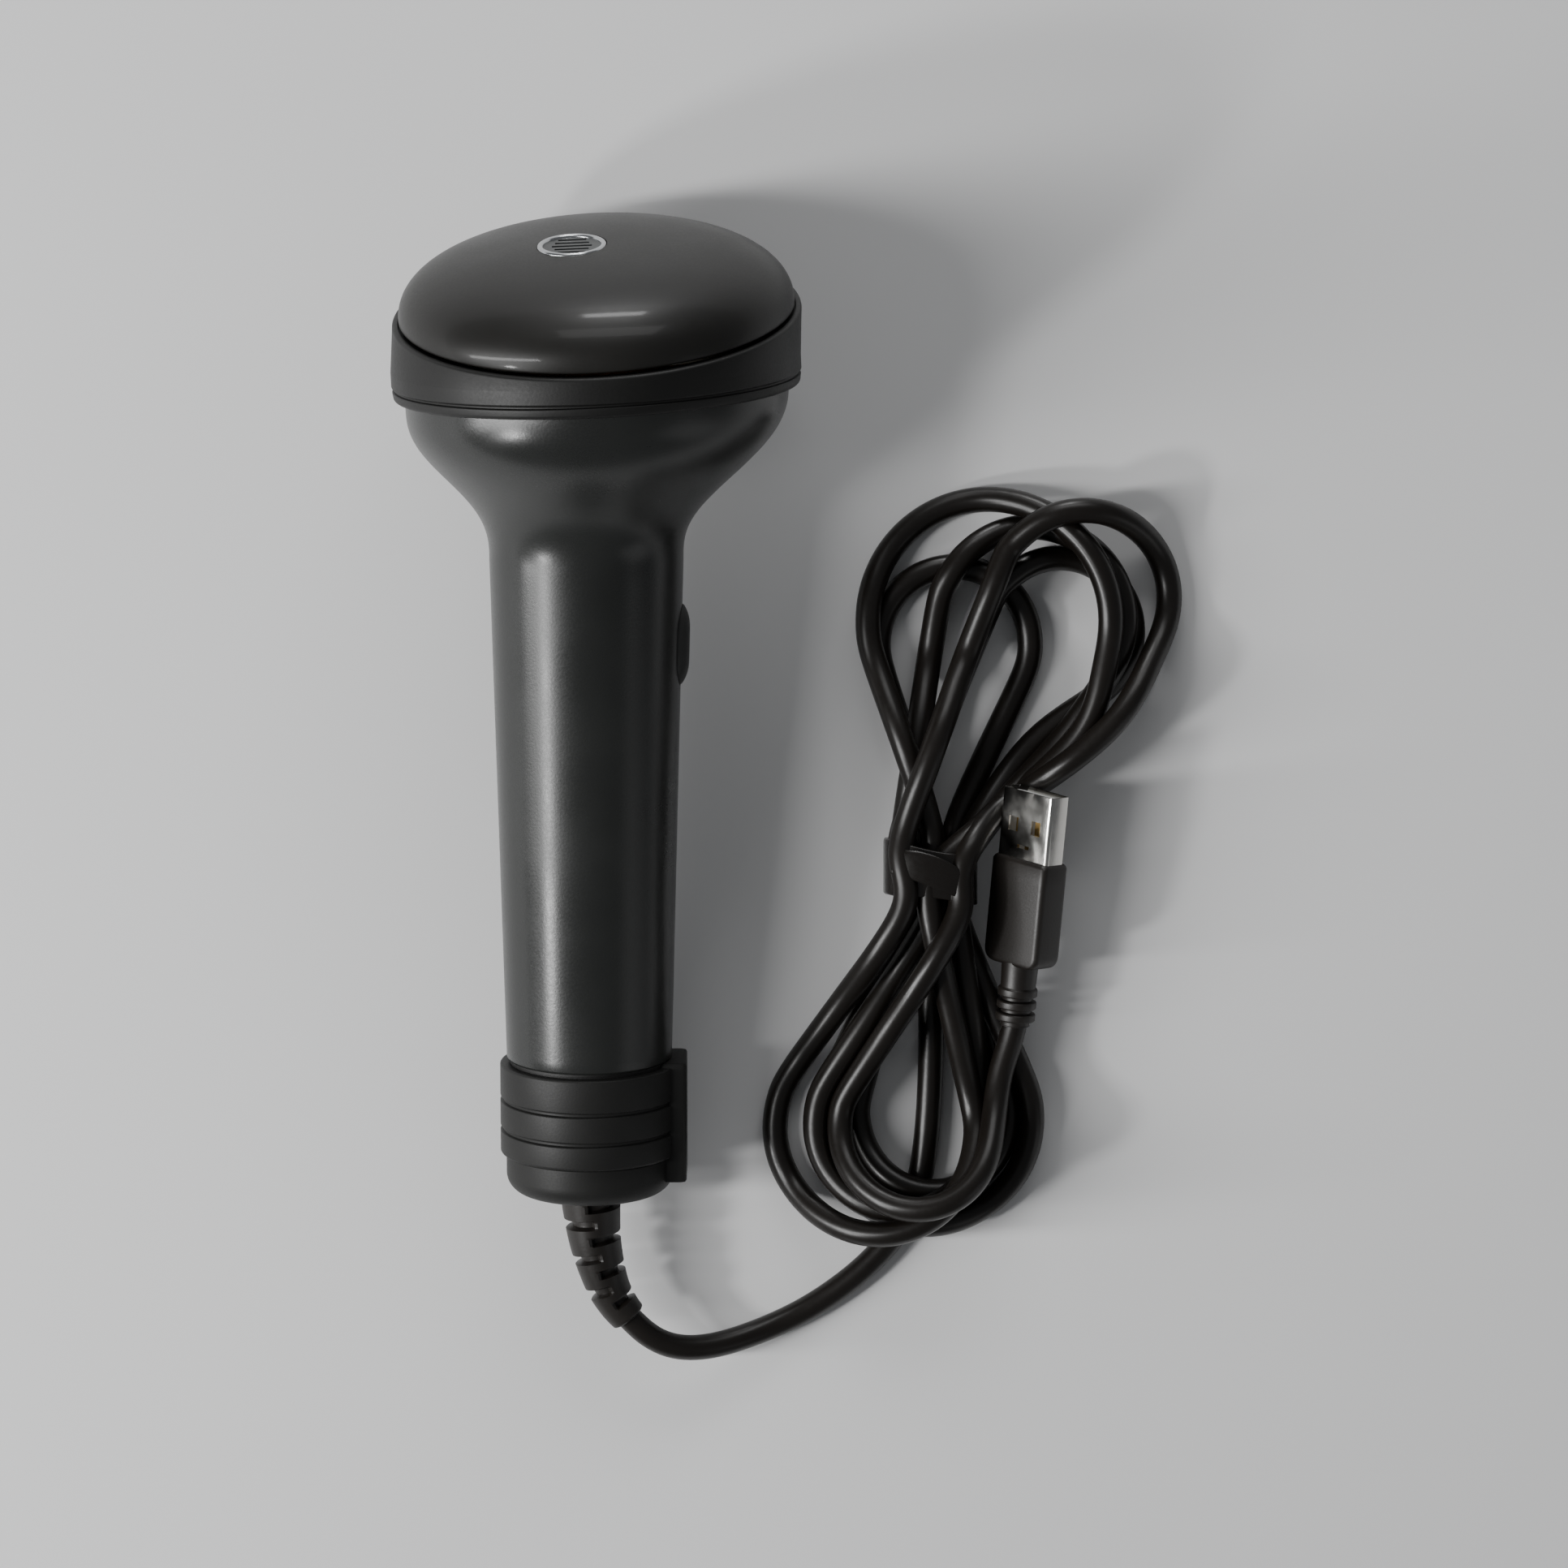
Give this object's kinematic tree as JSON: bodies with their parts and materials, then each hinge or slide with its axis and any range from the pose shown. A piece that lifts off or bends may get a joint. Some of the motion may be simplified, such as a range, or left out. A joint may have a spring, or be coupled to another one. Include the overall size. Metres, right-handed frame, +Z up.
{
  "type": "microchip scanner",
  "caption": "Hand-held microchip scanner: round tapered handle, domed antenna head in a rubber bumper band, side trigger, grooved foot and a tied USB cord.",
  "frame": {"origin": "centre of the scanner's footprint on the table that it lies on, without its cord", "axes": "+Z up from the table, +Y along the handle towards the domed head, +X towards the trigger side"},
  "size_m": [0.1365, 0.2018, 0.0704],
  "materials": {
    "housing": "satin dark grey moulded plastic, finely textured",
    "dome": "satin dark grey moulded plastic, smoother than the handle",
    "band_rubber": "matt black elastic rubber",
    "collar": "satin dark grey plastic",
    "cap": "satin dark grey plastic",
    "button": "dark grey soft-touch rubber",
    "seal_rubber": "black seal rubber",
    "screw_steel": "plain steel",
    "bright_ring": "bright plated ring",
    "grille": "mid grey plastic",
    "black_part": "black moulded component",
    "ivory_part": "ivory moulded component",
    "copper_wire": "enamelled copper wire",
    "lead_wire": "insulated hook-up wire",
    "board": "green circuit board",
    "capacitor": "sleeved aluminium can",
    "cord_jacket": "near-black brown cord jacket with a soft gloss",
    "boot_rubber": "matt black moulded strain relief",
    "tie_strap": "glossy black strap",
    "plug_metal": "stamped nickel-plated shell",
    "plug_tongue": "white insulator",
    "contact_gold": "gold-plated contacts",
    "plug_mould": "near-black satin overmould"
  },
  "bodies": {
    "root": {"front_housing": "housing", "rear_housing": "housing", "dome_cover": "dome", "bumper_band": "band_rubber", "end_collar": "collar", "end_cap": "cap", "housing_screws": "screw_steel", "head_screws": "screw_steel", "cap_screws": "screw_steel", "seal_ring": "seal_rubber", "dome_gasket": "seal_rubber", "sounder_grille": "grille", "grille_ring": "bright_ring", "sounder": "black_part", "antenna_bobbin": "ivory_part", "antenna_winding": "copper_wire", "antenna_leads": "lead_wire", "antenna_connector": "ivory_part", "main_board": "board", "reader_chip": "black_part", "controller_chip": "black_part", "crystal_can": "screw_steel", "capacitors": "capacitor", "trigger_switch": "black_part", "button_gasket": "seal_rubber", "cord_socket": "ivory_part", "cord_connector": "ivory_part", "cord_wires": "lead_wire", "inner_cord": "cord_jacket", "cord_clamp": "screw_steel", "clamp_screws": "screw_steel", "cord_boot": "boot_rubber", "cord_lead": "cord_jacket", "cord_hank": "cord_jacket", "cord_tie": "tie_strap", "tie_clasp": "tie_strap", "usb_shell": "plug_metal", "usb_tongue": "plug_tongue", "usb_contacts": "contact_gold", "usb_overmold": "plug_mould", "plug_boot": "plug_mould"},
    "trigger": {"trigger_button": "button"},
    "plunger": {"switch_plunger": "ivory_part"}
  },
  "joints": [
    {"name": "trigger_press", "type": "slide", "parent": "root", "child": "trigger", "axis": [-1, 0, 0], "range_m": [0, 0.0006], "stiffness_N_per_m": 1200, "springref_m": -0.0006},
    {"name": "plunger_press", "type": "slide", "parent": "root", "child": "plunger", "axis": [-1, 0, 0], "range_m": [0, 0.0006]}
  ],
  "couplings": [
    {"joint": "plunger_press", "follows": "trigger_press", "ratio": 1}
  ]
}
